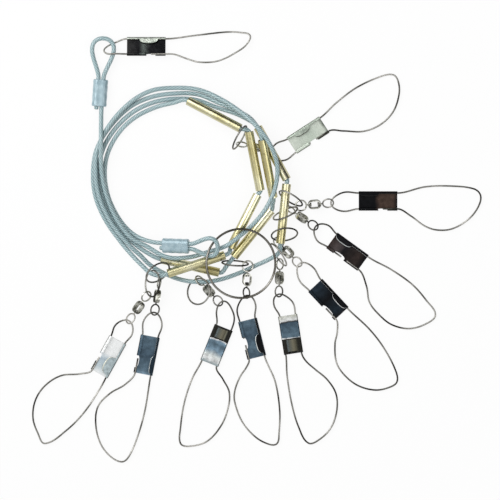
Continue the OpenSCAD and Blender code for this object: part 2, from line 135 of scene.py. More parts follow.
sky = bpy.data.worlds.new("sky")
bpy.context.scene.world = sky
sky.use_nodes = True
tree = sky.node_tree
way = tree.nodes.new("ShaderNodeTexCoord")
split = tree.nodes.new("ShaderNodeSeparateXYZ")
tree.links.new(way.outputs["Generated"], split.inputs[0])
ceiling = greys([(0.05, 0.55), (0.4, 0.65), (0.7, 0.85), (0.98, 1.0)])
room_light = colours_of(tree, split.outputs["Z"], ceiling)
far_side = math_node(tree, "ADD", split.outputs["X"], split.outputs["Y"])
wall = greys([(0.0, 1.0), (0.5, 1.0), (0.62, 0.1), (1.0, 0.05)])
wall_light = colours_of(tree, math_node(tree, "MULTIPLY_ADD", far_side, 0.35, 0.5), wall)
room_light = mixed(tree, 1.0, room_light, wall_light, "MULTIPLY")
room = tree.nodes["Background"]
tree.links.new(room_light, room.inputs["Color"])
room.inputs["Strength"].default_value = 0.85
seen_white = tree.nodes.new("ShaderNodeBackground")
seen_white.inputs["Color"].default_value = (1, 1, 1, 1)
pick = tree.nodes.new("ShaderNodeMixShader")
ray = tree.nodes.new("ShaderNodeLightPath")
tree.links.new(ray.outputs["Is Camera Ray"], pick.inputs[0])
tree.links.new(room.outputs[0], pick.inputs[1])
tree.links.new(seen_white.outputs[0], pick.inputs[2])
tree.links.new(pick.outputs[0], tree.nodes["World Output"].inputs["Surface"])
lamps = (("lamp_left", (-0.7, 0.6, 1.0), 1.0, 12.0), ("lamp_right", (0.9, -0.2, 1.3), 1.0, 6.0))
for name, spot, size, power in lamps:
    lamp = bpy.data.objects.new(name, bpy.data.lights.new(name, "AREA"))
    lamp.data.size = size
    lamp.data.energy = power
    lamp.location = spot
    lamp.rotation_euler = (-lamp.location).to_track_quat("-Z", "Y").to_euler()
    bpy.context.scene.collection.objects.link(lamp)

# The cable: one length of stranded steel cable in a clear, slightly blue coat,
# 3.2 mm over the coat. It lies in about four loose turns, strung with the tubes,
# with a loop swaged at each end.
cable_d, coil_r = 3.2 * mm, 67 * mm
tube_d, tube_l, tube_run = 6.35 * mm, 43 * mm, 0.6 * mm
ferrule_l, ferrule_w, ferrule_t, stub_l = 19.4 * mm, 10.8 * mm, 7 * mm, 2.4 * mm
leg_pitch = cable_d + 0.5 * mm
coil_place = (-78, 71)
up = np.array([0, 0, 1.0])

# Stations are X and Y in hundredths of the coil radius from the middle of the
# coil, then height in tube diameters. Tubes and ferrules add heading and pitch.
inner_run = [[-39, -66, 0.98], [-54, -60, 0.44], [-66.5, -49, 0.3], [-77, -33, 0.3],
    [-84.6, -14, 0.3], [-87.3, 8, 0.3], [-84, 29, 0.3], [-72, 51, 0.3], [-55, 67, 0.3],
    [-33, 78, 0.31], [-13, 83, 0.71]]
tube_places = [
    [30.4, 70.0, 1.64, -28, 8],
    [73.8, 20.0, 1.83, -79, -4],
    [62.5, -44.5, 1.45, -117, -2],
    [11.3, -90.7, 1.70, -162, 3],
    [87.9, 11.8, 1.8, -79, -12],
    [71.6, -57.8, 0.76, -129, -1.5],
    [4.5, -92.3, 0.52, 167, 0],
    [92.8, 28.4, 1.49, -61, 4],
    [104.8, -36.3, 1.6, -96, -2]]
run_12 = [[63, 54, 2.11]]
run_34 = [[47, -78, 1.45]]
run_45 = [[-27, -103, 1.83], [-38, -100, 1.42], [-46, -93, 1.02], [-56, -83, 0.63],
    [-69, -68, 0.3], [-86, -44, 0.3], [-97, -19, 0.3], [-100, 6, 0.3], [-96, 33, 0.3],
    [-82, 57, 0.3], [-61, 78, 0.3], [-38, 89, 0.3], [-12, 93, 0.3], [13, 92, 0.39],
    [35, 83, 0.79], [56, 74, 1.42], [72, 63, 2.32]]
run_56 = [[93, -27, 0.99]]
run_67 = [[44, -92, 0.68]]
run_78 = [[-42, -78, 0.41], [-56, -68, 0.3], [-74.5, -49, 0.3], [-87.5, -25, 0.3],
    [-93.8, 4, 0.3], [-90, 31, 0.3], [-77, 54, 0.3], [-57, 73, 0.3], [-35, 83.4, 0.3],
    [-12, 87.3, 0.3], [11, 86, 0.3], [33, 78, 0.44], [54, 71, 0.71], [68, 64, 0.95]]
outer_run = [[100, -78, 1.2], [90, -85, 0.79], [75, -92, 0.47], [60, -99, 0.3],
    [37, -107, 0.6], [15, -110, 0.9], [-6, -107, 0.6], [-24, -100, 0.3], [-39, -91, 0.3],
    [-49, -81, 0.54], [-60, -71, 0.82], [-79.5, -47, 0.82], [-92.5, -20, 0.82], [-97, 5, 0.85],
    [-95.2, 32, 0.95], [-82, 59, 0.88], [-60, 83, 0.79], [-37, 96, 0.63], [-11, 99, 0.55],
    [13, 97, 0.79], [35, 88, 1.26], [57, 74, 2.2], [76, 57, 3.15], [90, 38, 3.1],
    [98, 15, 2.45], [96, -8, 2.14], [87, -29, 2.14], [74, -46, 2.24], [57, -61, 2.28],
    [43, -71, 2.28], [25, -77, 1.6], [4, -83, 1.25], [-20, -83, 1.32], [-41, -72, 0.98],
    [-60, -61, 0.95], [-75, -41, 0.88], [-85, -18, 0.88], [-90, 4, 0.91], [-91.2, 21, 1.2],
    [-91, 37, 1.56], [-91, 47, 1.48], [-91, 61, 1]]
ferrule_places = {"ferrule_1": [-92.4, 93.5, 0.57, 86, 0.8, 0],
                  "ferrule_2": [-10.7, -70.9, 1.95, -2, 13.6, 15]}
loop_sizes = {"ferrule_1": (29.7 * mm, 13.8 * mm), "ferrule_2": (21.4 * mm, 11.2 * mm)}


def unit(v):
    """The vector v at a length of one."""
    return v / np.linalg.norm(v)


def facing(heading, pitch):
    """The unit vector at a heading and a pitch in degrees."""
    h, p = np.radians([heading, pitch])
    return np.array([np.cos(h) * np.cos(p), np.sin(h) * np.cos(p), np.sin(p)])


def turned(v, axis, degrees):
    """v turned about the unit axis: v cos a + (axis x v) sin a + axis (axis . v)(1 - cos a)."""
    a = np.radians(degrees)
    return v * np.cos(a) + np.cross(axis, v) * np.sin(a) + axis * (axis @ v) * (1 - np.cos(a))


def axes_of(x, wish):
    """Unit axes as rows: x as given, z as near as can be to the one wished for."""
    z = unit(wish - (wish @ x) * x)
    return np.array([x, np.cross(z, x), z])


def place(s):
    """A station, in metres."""
    x, y = (s[0] + coil_place[0]) * coil_r / 100, (s[1] + coil_place[1]) * coil_r / 100
    return np.array([x, y, s[2] * tube_d])


def moved(at, p):
    """Points given in a frame of an origin and unit axes, brought to where they lie."""
    return at[0] + np.asarray(p) @ at[1]


def ferrule_frame(name):
    """The middle of a ferrule, and axes along it, across its two bores and off its flat."""
    p = ferrule_places[name]
    x = facing(p[3], p[4])
    return place(p), axes_of(x, turned(axes_of(x, up)[2], x, p[5]))


def tube_knots(i):
    """Straight through tube i: a knot past each end, with the tube's own direction."""
    p = tube_places[i]
    at = place(p), axes_of(facing(p[3], p[4]), up)
    half = tube_l / 2 + tube_run
    return [(moved(at, [x, 0, 0]), at[1][0]) for x in (-half, half)]


def free_knots(run):
    """A run of stations, whose directions follow from their neighbours."""
    return [(place(s), None) for s in run]


def leg_knots(name, x_from, x_to, side):
    """Straight through one bore of a ferrule, from x_from to x_to along it."""
    at = ferrule_frame(name)
    way = np.sign(x_to - x_from) * at[1][0]
    return [(moved(at, [x, side * leg_pitch / 2, 0]), way) for x in (x_from, x_to)]


def loop_knots(name, steps=16, full=0.77):
    """The drop-shaped end loop, for t from 360 degrees down to 0.

    It runs out by l (1 - cos t) / 2 from the ferrule, and swells across it by
    full w sin t sin^2(t/2) about the line from one bore to the other.
    """
    at = ferrule_frame(name)
    l, w = loop_sizes[name]
    knots = []
    for t in np.linspace(2 * np.pi, 0, steps, endpoint=False)[1:]:
        x = ferrule_l / 2 + cable_d / 2 + (l - cable_d / 2) * (1 - np.cos(t)) / 2
        y = leg_pitch / 2 * np.cos(t / 2) + full * w * np.sin(t) * np.sin(t / 2) ** 2
        knots.append((moved(at, [x, y, 0]), None))
    return knots


def curve(knots, step):
    """A cubic through the knots, in pieces no longer than step.

    On the stretch from a to b, u running 0 to 1 and c its length, it is the
    Hermite blend of a, b and their unit directions times c. A knot with no
    direction takes the one from the knot before it to the knot after.
    """
    p = np.array([k[0] for k in knots])
    t = np.vstack([p[1] - p[0], p[2:] - p[:-2], p[-1] - p[-2]])
    t /= np.linalg.norm(t, axis=1)[:, None]
    for i, (_, way) in enumerate(knots):
        if way is not None:
            t[i] = way
    c = np.linalg.norm(np.diff(p, axis=0), axis=1)
    n = np.maximum(1, np.ceil(c / step)).astype(int)
    i = np.repeat(np.arange(len(c)), n)
    u = ((np.arange(n.sum()) - np.repeat(np.cumsum(n) - n, n)) / n[i])[:, None]
    a, b, ta, tb = p[i], p[i + 1], t[i] * c[i][:, None], t[i + 1] * c[i][:, None]
    line = a * (2 * u**3 - 3 * u**2 + 1) + ta * (u**3 - 2 * u**2 + u)
    line += b * (3 * u**2 - 2 * u**3) + tb * (u**3 - u**2)
    return np.vstack([line, p[-1:]])


def surface(name, grid, along, across, material, around=True, drop=None):
    """A mesh over a grid of points, rows by columns, with along and across as its UV.

    Each cell is a quad whose corners are the grid's neighbours. If around is
    true the columns close on themselves and both end rows are capped. Along
    and across give a UV for each point, or one for each row and each column.
    Cells marked in drop are left open.
    """
    rows, cols = grid.shape[:2]
    last = cols if around else cols - 1
    i, j = [a.ravel() for a in np.meshgrid(np.arange(rows - 1), np.arange(last), indexing="ij")]
    if drop is not None:
        i, j = i[~drop.ravel()], j[~drop.ravel()]
    k = (j + 1) % cols
    faces = np.stack([i * cols + j, i * cols + k, (i + 1) * cols + k, (i + 1) * cols + j], axis=1)
    faces = faces.tolist()
    u = along if along.ndim == 2 else np.repeat(along[:, None], last + 1, axis=1)
    v = across if across.ndim == 2 else np.repeat(across[None], rows, axis=0)
    corners = ((i, j), (i, j + 1), (i + 1, j + 1), (i + 1, j))
    uv = np.stack([np.stack([u[c], v[c]], axis=1) for c in corners], axis=1).reshape(-1, 2)
    smooth = np.ones(len(faces), bool)
    if around:
        faces += [list(range(cols - 1, -1, -1)), list(range((rows - 1) * cols, rows * cols))]
        caps = [np.repeat([[end, 0.5]], cols, axis=0) for end in (u[0, 0], u[-1, 0])]
        uv = np.vstack([uv] + caps)
        smooth = np.r_[smooth, False, False]
    m = bpy.data.meshes.new(name)
    m.from_pydata(grid.reshape(-1, 3).tolist(), [], faces)
    m.uv_layers.new(name="UVMap").data.foreach_set("uv", uv.ravel())
    m.polygons.foreach_set("use_smooth", smooth)
    m.materials.append(material)
    o = bpy.data.objects.new(name, m)
    bpy.context.scene.collection.objects.link(o)
    return o


def wire(name, line, radius, material, sides=14):
    """A round wire along a line of points, with its two ends rounded over.

    A ring at the point p, where the line runs along t, is p + r (cos a s + sin a w).
    s is level and square to t, w is square to both, and r drops at the two ends.
    """
    t = np.gradient(line, axis=0)
    t /= np.linalg.norm(t, axis=1)[:, None]
    s = np.cross(t, up)
    s /= np.linalg.norm(s, axis=1)[:, None]
    w = np.cross(t, s)
    back = np.array([0, 0.15, 0.35, 0.6])[:, None] * radius
    first = np.r_[np.zeros(4, int), np.arange(1, len(line) - 1), np.full(4, len(line) - 1)]
    p = line[first]
    p[:4] += t[0] * back
    p[-4:] -= t[-1] * back[::-1]
    r = np.ones(len(p))
    r[:4] = r[-4:][::-1] = 0.45, 0.8, 0.96, 1
    a = np.linspace(0, 2 * np.pi, sides, endpoint=False)[:, None]
    ring = np.cos(a) * s[first][:, None] + np.sin(a) * w[first][:, None]
    grid = p[:, None] + radius * r[:, None, None] * ring
    run = np.r_[0, np.cumsum(np.linalg.norm(np.diff(p, axis=0), axis=1))]
    return surface(name, grid, run, np.linspace(0, 1, sides + 1), material)


def tone(r, g, b):
    """A colour read in 0 to 255 display steps, as the linear light that the nodes want."""
    c = np.array([r, g, b]) / 255
    return tuple(np.where(c > 0.04045, ((c + 0.055) / 1.055) ** 2.4, c / 12.92)) + (1,)


def bumped(tree, shader, height, depth):
    """A relief of height times depth, in metres, on the shader's normal."""
    relief = tree.nodes.new("ShaderNodeBump")
    relief.inputs["Strength"].default_value = 1.0
    relief.inputs["Distance"].default_value = depth
    tree.links.new(height, relief.inputs["Height"])
    tree.links.new(relief.outputs[0], shader.inputs["Normal"])


def speckle(tree, scale, detail=3.0):
    """Noise on the object's own coordinates, scale per metre."""
    where = tree.nodes.new("ShaderNodeTexCoord")
    noise = tree.nodes.new("ShaderNodeTexNoise")
    noise.inputs["Scale"].default_value = scale
    noise.inputs["Detail"].default_value = detail
    tree.links.new(where.outputs["Object"], noise.inputs["Vector"])
    return noise.outputs["Fac"]


def on_uv(tree):
    """The piece's own coordinates: along it, and across or round it."""
    uv = tree.nodes.new("ShaderNodeUVMap")
    parts = tree.nodes.new("ShaderNodeSeparateXYZ")
    tree.links.new(uv.outputs[0], parts.inputs[0])
    return parts.outputs["X"], parts.outputs["Y"]


def cable_finish():
    """Six strands, each of finer wires, seen through the coat: helices on the cable's UV."""
    strands, lay = 6, 17 * mm
    finish, tree, shader = new_finish("coated_cable", tone(160, 185, 195), 0, 0.35, coat=0.7,
                                      coat_rough=0.12)
    along, round_it = on_uv(tree)
    turn = math_node(tree, "MULTIPLY", round_it, strands)
    turn = math_node(tree, "MULTIPLY_ADD", along, strands / lay, turn)
    strand = math_node(tree, "PINGPONG", turn, 0.5)
    fine = math_node(tree, "MULTIPLY", round_it, -3 * strands)
    fine = math_node(tree, "MULTIPLY_ADD", along, 5 * strands / lay, fine)
    wires = math_node(tree, "PINGPONG", fine, 0.5)
    depth = math_node(tree, "MULTIPLY_ADD", strand, 1.6, math_node(tree, "MULTIPLY", wires, 0.4))
    # The colour follows the strands' relief. The grooves between strands and wires are darkened
    # with painted shade, and the crowns are paler with a painted highlight, over the steel's own
    # grey-blue.
    strand_tone_and_shade = colours_of(tree, depth, [(0.0, tone(50, 76, 82)), (0.3, tone(110, 140, 146)),
                                     (0.7, tone(164, 190, 194)), (1.0, tone(202, 220, 221))])
    haze = math_node(tree, "MULTIPLY", speckle(tree, 45), 0.4)
    tree.links.new(mixed(tree, haze, strand_tone_and_shade, tone(176, 199, 202)), shader.inputs["Base Color"])
    bumped(tree, shader, depth, 0.22 * mm)
    return finish


leg_end = ferrule_l / 2 + tube_run
stub_end = -ferrule_l / 2 - stub_l
knots = leg_knots("ferrule_2", stub_end, leg_end, -1) + loop_knots("ferrule_2")
knots += leg_knots("ferrule_2", leg_end, -leg_end, 1) + free_knots(inner_run)
for i, run in enumerate((run_12, [], run_34, run_45, run_56, run_67, run_78, [], outer_run)):
    knots += tube_knots(i) + free_knots(run)
knots += leg_knots("ferrule_1", -leg_end, leg_end, -1) + loop_knots("ferrule_1")
knots += leg_knots("ferrule_1", leg_end, stub_end, 1)
cable_line = curve(knots, 2 * mm)
# Beside and under the wire eye of swivel 8 the cable gives way, along a bell of its
# distance to that eye.
eye_place, bell, give = np.array([-42.5, -26, 6]) * mm, 7 * mm, 0.35 * mm
beside_eye = np.linalg.norm(cable_line - eye_place, axis=1) / bell
cable_line = cable_line + give * np.exp(-beside_eye[:, None]**2) * np.array([0, 0.78, -0.62])
cable = wire("cable_coated", cable_line, cable_d / 2, cable_finish(), 16)
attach(cable, "stringer")
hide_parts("cable")

# The ferrules: two swaged sleeves of soft alloy, each pressed over both legs of
# an end loop in three shallow bites, then dipped with the cable in the same coat.
def ferrule_grid(rows=72, cols=48):
    """A flat-sided oval carried along x, waisted at each of three bites.

    Round the section at angle a, y is the half flat times tanh(4 cos a) plus the
    radius times cos a, and z is the radius times sin a, less a valley between the
    two bores. Both shrink at a bite, along a bell of x, and round off at the ends.
    """
    bite_depth, bite_half, valley_half, edge_l = 0.035, 2 * mm, 1.5 * mm, 1.1 * mm
    x = np.linspace(-ferrule_l / 2, ferrule_l / 2, rows)[:, None]
    a = np.linspace(0, 2 * np.pi, cols, endpoint=False)[None]
    bites = np.array([-5.8, 0, 5.8]) * mm
    waist = 1 - bite_depth * np.exp(-((x[:, :, None] - bites) / bite_half) ** 2).sum(2)
    edge = np.clip((ferrule_l / 2 - np.abs(x)) / edge_l, 0, 1)
    waist = waist * (0.88 + 0.12 * np.sqrt(1 - (1 - edge) ** 2))
    y = ((ferrule_w - ferrule_t) / 2 * np.tanh(4 * np.cos(a)) + ferrule_t / 2 * np.cos(a)) * waist
    valley = 1 - 0.1 * np.exp(-(y / valley_half) ** 2)
    z = ferrule_t / 2 * np.sin(a) * waist * valley
    return np.stack([np.broadcast_to(x, y.shape), y, z], axis=2)


def ferrule_finish():
    """Dull alloy under the clear coat, clouded and faintly scored across."""
    alloy = tone(150, 172, 184)
    finish, tree, shader = new_finish("ferrule_alloy", alloy, 0.2, 0.42, coat=0.4, coat_rough=0.2)
    clouds = [(0.3, tone(142, 168, 178)), (0.7, tone(172, 194, 202))]
    tint = colours_of(tree, speckle(tree, 260), clouds)
    tree.links.new(tint, shader.inputs["Base Color"])
    along, _ = on_uv(tree)
    score = math_node(tree, "SINE", math_node(tree, "MULTIPLY", along, 120))
    relief = math_node(tree, "MULTIPLY_ADD", score, 0.12, speckle(tree, 900))
    bumped(tree, shader, relief, 0.09 * mm)
    return finish


sleeve_alloy = ferrule_finish()
for name in ferrule_places:
    grid = moved(ferrule_frame(name), ferrule_grid())
    rows, cols = grid.shape[:2]
    along, round_it = np.linspace(0, 1, rows), np.linspace(0, 1, cols + 1)
    sleeve = surface("sleeve_" + name[-1], grid, along, round_it, sleeve_alloy)
    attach(sleeve, "stringer")
    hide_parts(name)

# The spacers: nine thin-walled brass tubes, cut square and left bright, which
# slide on the cable and keep the rings apart.
def brass_finish():
    """Pale drawn brass: clouds of tarnish, dark flecks and a faint waviness."""
    finish, tree, shader = new_finish("bright_brass", tone(214, 206, 160), 1.0, 0.3, edge=0.5)
    clouds = [(0.3, tone(186, 176, 124)), (0.5, tone(214, 208, 166)), (0.72, tone(236, 233, 206))]
    tint = colours_of(tree, speckle(tree, 40), clouds)
    flecks = math_node(tree, "GREATER_THAN", speckle(tree, 420), 0.66)
    flecks = math_node(tree, "MULTIPLY", flecks, 0.4)
    tree.links.new(mixed(tree, flecks, tint, tone(112, 100, 56)), shader.inputs["Base Color"])
    drawn = speckle(tree, 150, 4.0)
    tree.links.new(math_node(tree, "MULTIPLY_ADD", drawn, 0.2, 0.2), shader.inputs["Roughness"])
    bumped(tree, shader, drawn, 0.05 * mm)
    return finish


def finished(name, finish):
    """The solid of that name keeps its shape and takes this finish."""
    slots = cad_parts[name].data.materials
    slots.clear()
    slots.append(finish)


brass = brass_finish()
for k in range(1, 10):
    finished("tube_%d" % k, brass)

# Rings and swivels: welded rings of nickel-plated wire, and boxes of bent strip
# with a wire eye headed inside at each end.
def plated_finish(name, dark, middle, bright, rough, edge=0.3, cloud=70):
    """Nickel plate in three tints that drift along the piece."""
    finish, tree, shader = new_finish(name, middle, 1.0, rough, edge=edge)
    tint = colours_of(tree, speckle(tree, cloud), [(0.36, dark), (0.48, middle), (0.64, bright)])
    tree.links.new(tint, shader.inputs["Base Color"])
    return finish


wire_tints = tone(62, 61, 57), tone(118, 117, 111), tone(196, 194, 188)
strip_tints = tone(84, 84, 76), tone(164, 164, 154), tone(232, 232, 224)
nickel = plated_finish("nickel_wire", *wire_tints, 0.5, cloud=45)
strip = plated_finish("swivel_strip", *strip_tints, 0.26, cloud=300)
for k in range(2, 11):
    finished("ring_%d" % k, nickel)
    finished("swivel_%d" % k, strip)
    finished("swivel_eye_%d" % k, nickel)

# The split ring: spring wire wound nearly twice round, its ends stopping short
# of the loop, where the second turn crosses from under the first to over it.
split_middle = place([59.1, -89.7, 2.89])
split_r, split_wire, split_pitch = 24.7 * mm, 1.6 * mm, 2.05 * mm
split_start, split_sweep = 182, 658.8


def split_line(steps=220):
    """The two turns: a circle at the angle a + start, lifted by a smooth step.

    The lift is pitch times (3 s^2 - 2 s^3 - 1/2), where s runs from 0 to 1 over
    the part of the wire that passes from the lower turn to the upper one.
    """
    a = np.linspace(0, split_sweep, steps)
    s = np.clip((a - (split_sweep - 360)) / (720 - split_sweep), 0, 1)
    lift = (3 * s**2 - 2 * s**3 - 0.5) * split_pitch
    a = np.radians(a + split_start)
    return split_middle + np.stack([split_r * np.cos(a), split_r * np.sin(a), lift], axis=1)


spring_tints = tone(66, 64, 58), tone(96, 93, 86), tone(156, 153, 146)
spring = plated_finish("spring_wire", *spring_tints, 0.4, cloud=45)
split_ring = wire("split_ring_wire", split_line(), split_wire / 2, spring, 16)
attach(split_ring, "split_ring")
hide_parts("split_ring")

# The snaps: ten safety-pin snaps, one on each lower eye and one on the loop. The
# neck wire runs out of the folded sheet, round the eye and back. The bow is
# clamped by the sheet's leaf at one edge and springs into the catch at the other.
snap_l, snap_wire, snap_step = 92 * mm, 1.2 * mm, 1.2 * mm
clasp_l, clasp_w, clasp_t, sheet_t = 27.8 * mm, 14 * mm, 2.6 * mm, 0.45 * mm
clasp_e = (clasp_w - clasp_t) / 2
clasp_z = clasp_t / 2 + 0.1 * mm
neck_w, end_neck_share, end_neck_twist = 13.8 * mm, 0.68, 1.7 * mm
# From the ring's wire in one eye of a swivel to the neck in the other
link_l = 28.4 * mm - 2 * (4.4 - 2.0) * mm
# For snaps 2 to 10: the upper link's station, the swivel's heading and dip, the
# snap's heading, the neck knot that holds the swivel's eye, and face down or not
chains = [
    [57.1, 38.7, 0.777, -11.7, 5.3, 33, 3, 0],
    [120.7, -27.7, 0.666, 4.8, 2, 0, 4, 0],
    [110.2, -30.4, 0.67, -34.7, 3.6, -36, 4, 0],
    [97.4, -64.8, 0.46, -46.4, -1, -47, 4, 0],
    [101.2, -87.6, 0.574, -92.2, 0.7, -81, 4, 1],
    [66.5, -89.7, 1.22, -92.6, 10.9, -76, 4, 0],
    [13, -106, 0.757, -48.2, 3.9, -112, 3, 1],
    [-28.3, -107.7, 0.7, -98.8, 2.8, -101, 4, 0],
    [-40.8, -122.7, 0.657, -125.4, 2.1, -119, 4, 0]]
end_snap_place, end_snap_roll = [-63.4, 143.5, 0.6], -14
# Neck tips and bows of snaps 1 to 10, in hundredths of the snap's length
neck_tips = [[-18, -3.5], [-18.4, 1.1], [-21.9, -1.6], [-16.7, 0.9], [-20.9, 2.2],
    [-17.5, 4.2], [-18.8, 3.8], [-19.4, 6.3], [-18.9, -0.2], [-17.4, 0.4]]
bow_shares = [
    [[54.0, 9.0], [77.5, 11.7], [89.2, 11.3], [96.3, 9.0], [94, 2], [87.7, -3.5], [72.0, -11.7],
        [57.1, -12.9], [47.3, -10.2], [37.2, -6.5]],
    [[47.3, 9.1], [66.8, 10.5], [87.3, 7.6], [96.7, 3.4], [97.4, -2.7], [92.6, -11.7],
        [81.0, -21.0], [66.9, -24.0], [53.0, -21.1], [40.0, -12.3]],
    [[51.7, 11.0], [71.2, 11.7], [90.4, 9.4], [95.5, 3.9], [93.1, -5.5], [85.3, -14.9],
        [72.8, -21.9], [61.0, -22.7], [51.7, -19.6], [40.7, -11.7]],
    [[51.2, 8.8], [71.4, 9.0], [87.6, 5.4], [99.9, 0.5], [98.3, -9.2], [89.8, -20.2],
        [76.6, -25.9], [63.5, -25.3], [52.3, -21.9], [42.9, -13.0]],
    [[53.4, 7.6], [71.2, 6.1], [90.5, 1.0], [98.8, -4.5], [97.9, -12.2], [91.9, -21.6],
        [80.3, -29.0], [66.6, -31.2], [55.3, -28.9], [44.0, -19.9], [38.2, -12]],
    [[46.9, 7.8], [69.2, 7.6], [87.9, 5.1], [101.3, -0.4], [99.8, -9.6], [92.0, -20.0],
        [79.6, -26.4], [66.4, -27.8], [54.4, -22.7], [45.1, -14.7], [37.1, -8.3]],
    [[52.0, 9.4], [74.2, 7.5], [92.3, 2.5], [99.5, -0.9], [98.9, -6.5], [90.9, -15.7],
        [76.8, -23.1], [59.9, -25.2], [51.0, -22.8], [41.6, -16.2], [35.5, -9.5]],
    [[46.5, 7.9], [66.1, 6.6], [85.2, 2.1], [96.9, -2.6], [96.5, -9.6], [87.5, -21.3],
        [71.2, -27.0], [55.5, -26.5], [44.9, -22.6], [37.8, -14.5]],
    [[57.0, 7.0], [78.0, 5.4], [95.5, 1.6], [100.8, -3.0], [98.2, -13.0], [89.3, -22.7],
        [75.0, -29.0], [61.5, -29.6], [49.8, -22.2], [40.7, -12.0]],
    [[39, 6.3], [61.3, 4.6], [81.5, -0.9], [98.6, -10.6], [94.4, -19.2], [85.4, -28.7],
        [72.5, -33.6], [59, -32.5], [46.1, -25.4], [37.6, -13]]]


def low_link(k):
    """Where the lower eye of swivel k holds the neck of its snap."""
    x, y, z, heading, dip = chains[k - 2][:5]
    return place([x, y, z]) + link_l * facing(heading, -dip)


def snap_axes(k):
    """The snap's own axes as rows: x along it, z up or down, y square to both."""
    if k == 1:
        return axes_of(facing(0, 0), turned(up, facing(0, 0), end_snap_roll))
    return axes_of(facing(chains[k - 2][5], 0), -up if chains[k - 2][7] else up)


def aimed(points):
    """Knots that run along x or against it, by 1 or -1, or as their neighbours do, by 0."""
    return [(np.array(p), np.array([way, 0, 0]) if way else None) for p, way in points]


def neck_knots(k):
    """The neck wire in the snap's own axes: out of the clasp, round the tip, and back in.

    Each leg bulges half way to the tip and is pinched near it. Both places lean to
    the tip's side and rise towards the eye, most on the leg that lies in it.
    """
    tip = np.array(neck_tips[k - 1]) / 100 * snap_l
    rise, twist, eye_knot, half = 0, end_neck_twist, 4, neck_w / 2 * end_neck_share
    if k > 1:
        rise = (low_link(k)[2] - clasp_z) * (-1 if chains[k - 2][7] else 1)
        twist, eye_knot, half = 0, chains[k - 2][6], neck_w / 2
    points = [([0.28 * clasp_l, clasp_e, 0], -1), ([0, clasp_e, 0], -1)]
    for way, pinch_knot in ((1, 3), (-1, 5)):
        lift, shoulder = (0.6, rise) if eye_knot == pinch_knot else (0.45, rise * 0.85)
        bulge = [0.5 * tip[0], way * half + 0.5 * tip[1] * 0.8, rise * lift - way * twist]
        pinch = [0.86 * tip[0], way * 0.62 * half + 0.86 * tip[1], shoulder - way * twist / 2]
        leg = [(bulge, 0), (pinch, 0)]
        points += leg if way == 1 else [([tip[0], tip[1], rise], 0)] + leg[::-1]
    points += [([0, -clasp_e, 0], 1), ([0.45 * clasp_l, -clasp_e, 0], 1)]
    return aimed(points)


def snap_frame(k):
    """The middle of the clasp's neck end, and the snap's axes."""
    if k == 1:
        return place(end_snap_place), snap_axes(1)
    return low_link(k) - neck_knots(k)[chains[k - 2][6]][0] @ snap_axes(k), snap_axes(k)


def bow_knots(k):
    """The bow in the snap's own axes: straight from the fold, round, and into the catch."""
    ends = [([0.34 * clasp_l, clasp_e, 0], 1), ([clasp_l, clasp_e, 0], 1)]
    ends += [([x / 100 * snap_l, y / 100 * snap_l, 0], 0) for x, y in bow_shares[k - 1]]
    ends += [([clasp_l, -clasp_e, 0], -1), ([0.62 * clasp_l, -clasp_e, 0], -1)]
    return aimed(ends)


# For snaps 1 to 10: where the leaf starts and ends along the clasp, its reach
# across it, where the gate's notch starts and ends, and its depth, all as shares
leaf_shares = [
    [0.33, 0.80, 0.30, 0.50, 0.74, 0.04], [0.20, 0.66, 0.30, 0.42, 0.66, 0.07],
    [0.03, 0.52, 0.22, 0.50, 0.74, 0.03], [0.02, 0.50, 0.30, 0.22, 0.55, 0.12],
    [0.48, 0.96, 0.27, 0.52, 0.90, 0.10], [0.48, 0.96, 0.32, 0.50, 0.74, 0],
    [0.43, 0.92, 0.34, 0.42, 0.74, 0.13], [0.48, 0.96, 0.32, 0.50, 0.74, 0],
    [0.50, 0.97, 0.22, 0.55, 0.86, 0.09], [0.45, 0.94, 0.50, 0.50, 0.74, 0.07]]
# Where the recess starts and ends on the two clasps that lie face down
recess_shares, recess_depth = {6: (0.60, 0.97), 8: (0.02, 0.34)}, 0.5 * mm


